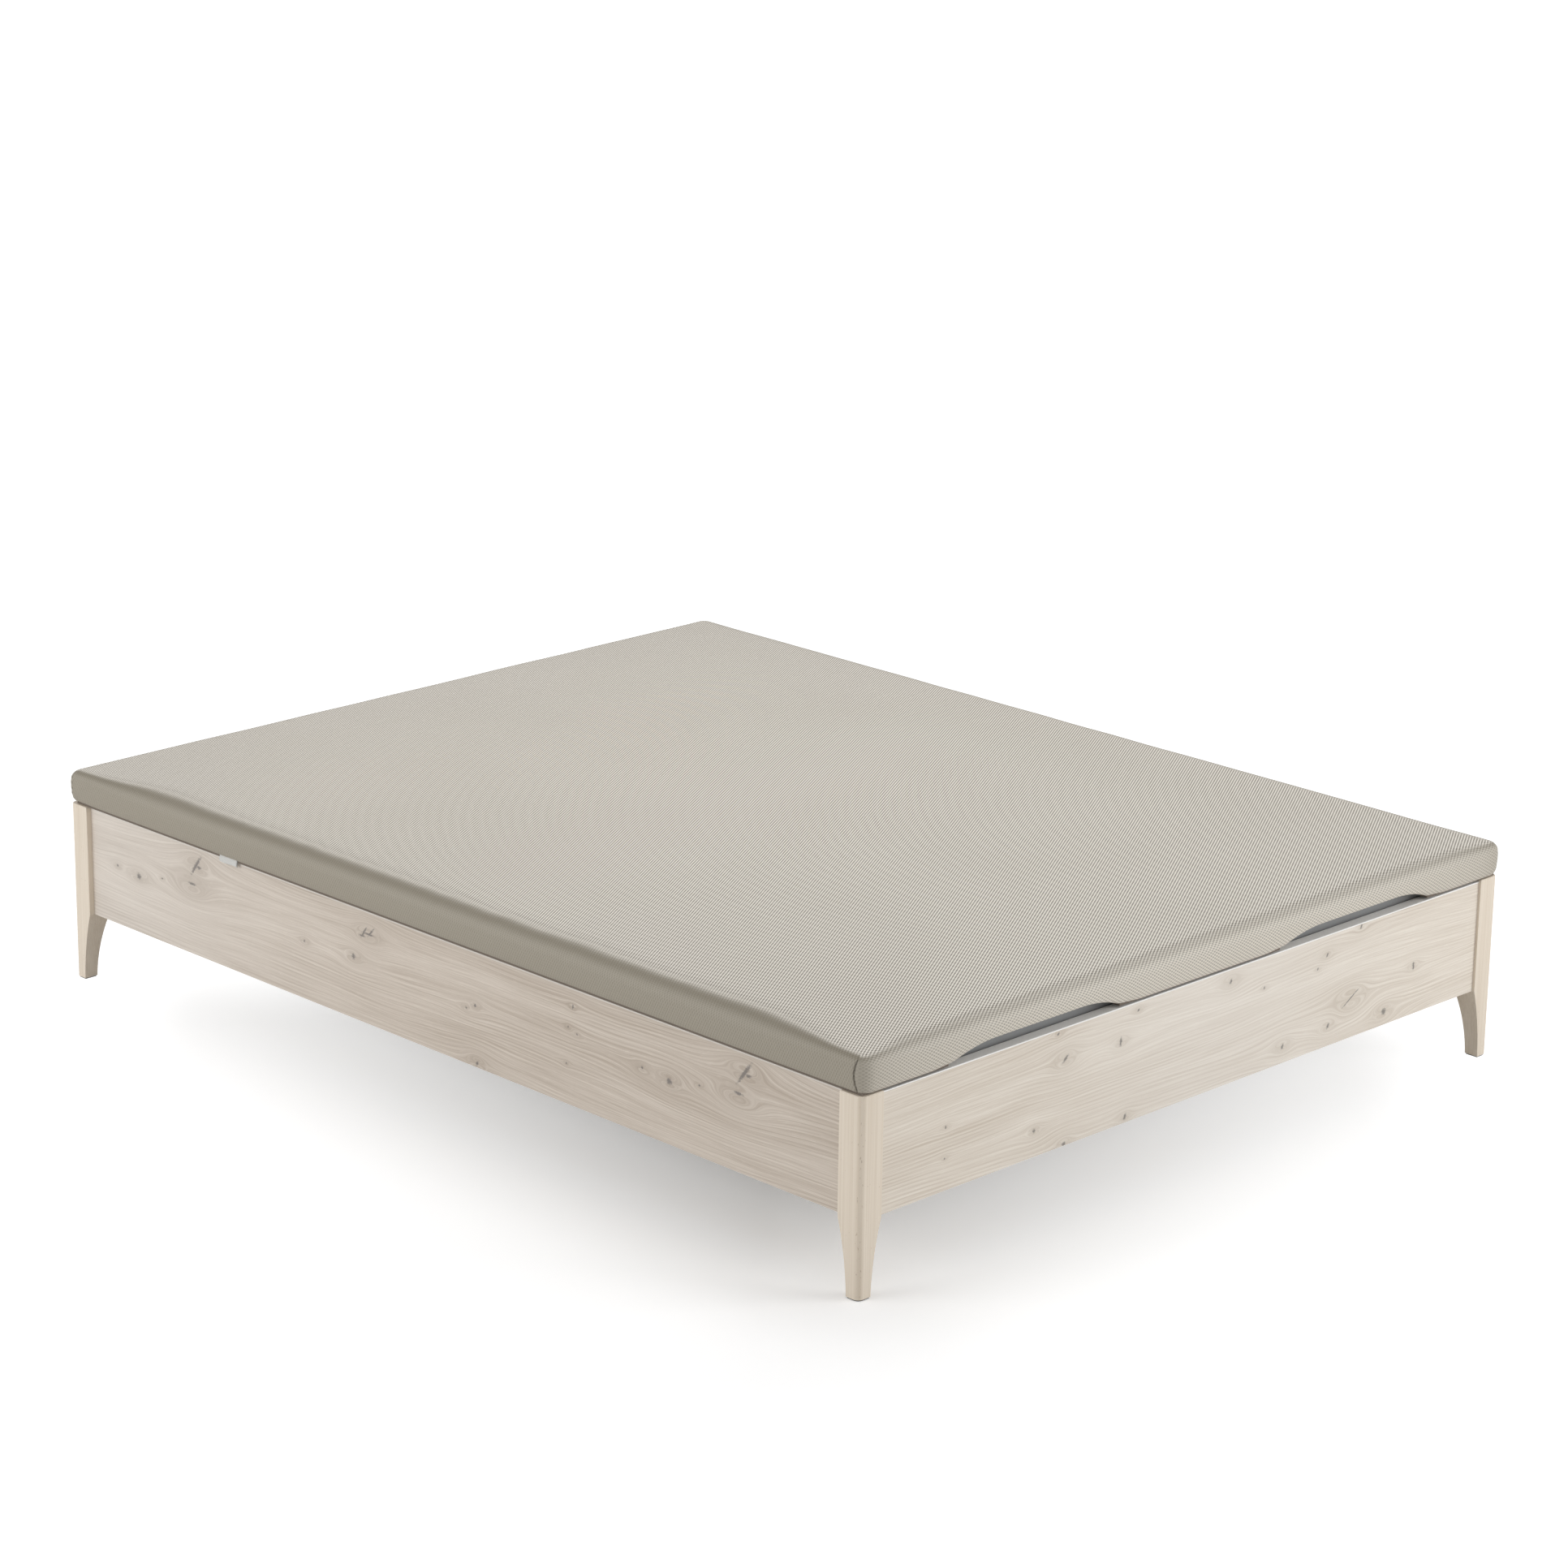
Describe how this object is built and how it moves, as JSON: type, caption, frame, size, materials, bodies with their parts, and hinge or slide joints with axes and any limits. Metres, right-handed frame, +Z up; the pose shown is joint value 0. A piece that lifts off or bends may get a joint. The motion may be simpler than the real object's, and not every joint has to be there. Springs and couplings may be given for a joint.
{
  "type": "storage bed base",
  "caption": "Low lift-up storage bed base: wooden box on tapered corner legs, with a hinged flat lid in perforated fabric, finger recesses and gas struts.",
  "frame": {"origin": "on the floor under the middle of the bed", "axes": "+X across the bed, +Y along it towards the head end, +Z up"},
  "size_m": [1.5118, 1.9118, 0.375],
  "materials": {
    "leg_wood": "oiled beech, satin",
    "board_oak": "bleached knotty oak decor, matt",
    "edge_band": "pale edge band",
    "frame_timber": "planed softwood",
    "floor_fibreboard": "grey faced fibreboard",
    "lid_fibreboard": "grey faced fibreboard",
    "cover_mesh": "taupe perforated spacer fabric",
    "foam": "soft foam",
    "rest_strip": "grey foam rubber",
    "tab_cloth": "plain woven tab",
    "grey_steel": "grey powder coat",
    "zinc_steel": "zinc plated",
    "strut_black": "black paint",
    "strut_chrome": "polished",
    "dark_plastic": "moulded plastic"
  },
  "bodies": {
    "base": {"board_dowels": "frame_timber", "board_edge_bands": "edge_band", "centre_leg": "frame_timber", "corner_block_screws": "zinc_steel", "corner_blocks": "frame_timber", "floor_beam": "frame_timber", "floor_cleat_foot": "frame_timber", "floor_cleat_head": "frame_timber", "floor_cleat_left": "frame_timber", "floor_cleat_right": "frame_timber", "floor_cleat_screws": "zinc_steel", "floor_panel_1": "floor_fibreboard", "floor_panel_2": "floor_fibreboard", "floor_panel_3": "floor_fibreboard", "floor_panel_4": "floor_fibreboard", "foot_board": "board_oak", "head_board": "board_oak", "hinge_block_left": "frame_timber", "hinge_block_right": "frame_timber", "hinge_pins": "zinc_steel", "hinge_plate_left": "grey_steel", "hinge_plate_right": "grey_steel", "hinge_plate_screws": "zinc_steel", "leg_foot_left": "leg_wood", "leg_foot_right": "leg_wood", "leg_glides": "dark_plastic", "leg_head_left": "leg_wood", "leg_head_right": "leg_wood", "side_board_left": "board_oak", "side_board_right": "board_oak", "strut_lower_studs": "zinc_steel"},
    "lid": {"lid_air_vents": "dark_plastic", "lid_arm_bolts": "zinc_steel", "lid_arm_left": "grey_steel", "lid_arm_right": "grey_steel", "lid_board": "lid_fibreboard", "lid_cover": "cover_mesh", "lid_crossbar_1": "grey_steel", "lid_crossbar_2": "grey_steel", "lid_crossbar_3": "grey_steel", "lid_foam": "foam", "lid_frame_screws": "zinc_steel", "lid_rest_strips": "rest_strip", "lid_rim_foot": "frame_timber", "lid_rim_head": "frame_timber", "lid_rim_left": "frame_timber", "lid_rim_right": "frame_timber", "lid_tab": "tab_cloth", "lid_tube_foot": "grey_steel", "lid_tube_head": "grey_steel", "lid_tube_left": "grey_steel", "lid_tube_right": "grey_steel", "strut_upper_studs": "zinc_steel"},
    "strut_cylinder_left": {"strut_cylinder_left": "strut_black"},
    "strut_cylinder_right": {"strut_cylinder_right": "strut_black"},
    "strut_rod_left": {"strut_rod_left": "strut_chrome"},
    "strut_rod_right": {"strut_rod_right": "strut_chrome"}
  },
  "joints": [
    {"name": "lid_tilt", "type": "hinge", "parent": "base", "child": "lid", "pos_m": [0, 0.938, 0.3365], "axis": [-1, 0, 0], "range_deg": [0, 40]},
    {"name": "strut_cylinder_left_swing", "type": "hinge", "parent": "base", "child": "strut_cylinder_left", "pos_m": [-0.689, 0.86493, 0.172], "axis": [-1, 0, 0], "range_deg": [0, 20]},
    {"name": "strut_rod_left_swing", "type": "hinge", "parent": "lid", "child": "strut_rod_left", "pos_m": [-0.689, 0.758, 0.3365], "axis": [-1, 0, 0], "range_deg": [-20, 0]},
    {"name": "strut_cylinder_right_swing", "type": "hinge", "parent": "base", "child": "strut_cylinder_right", "pos_m": [0.689, 0.86493, 0.172], "axis": [-1, 0, 0], "range_deg": [0, 20]},
    {"name": "strut_rod_right_swing", "type": "hinge", "parent": "lid", "child": "strut_rod_right", "pos_m": [0.689, 0.758, 0.3365], "axis": [-1, 0, 0], "range_deg": [-20, 0]}
  ],
  "couplings": [
    {"joint": "strut_cylinder_left_swing", "follows": "lid_tilt", "ratio": 0.5},
    {"joint": "strut_rod_left_swing", "follows": "lid_tilt", "ratio": -0.5},
    {"joint": "strut_cylinder_right_swing", "follows": "lid_tilt", "ratio": 0.5},
    {"joint": "strut_rod_right_swing", "follows": "lid_tilt", "ratio": -0.5}
  ]
}
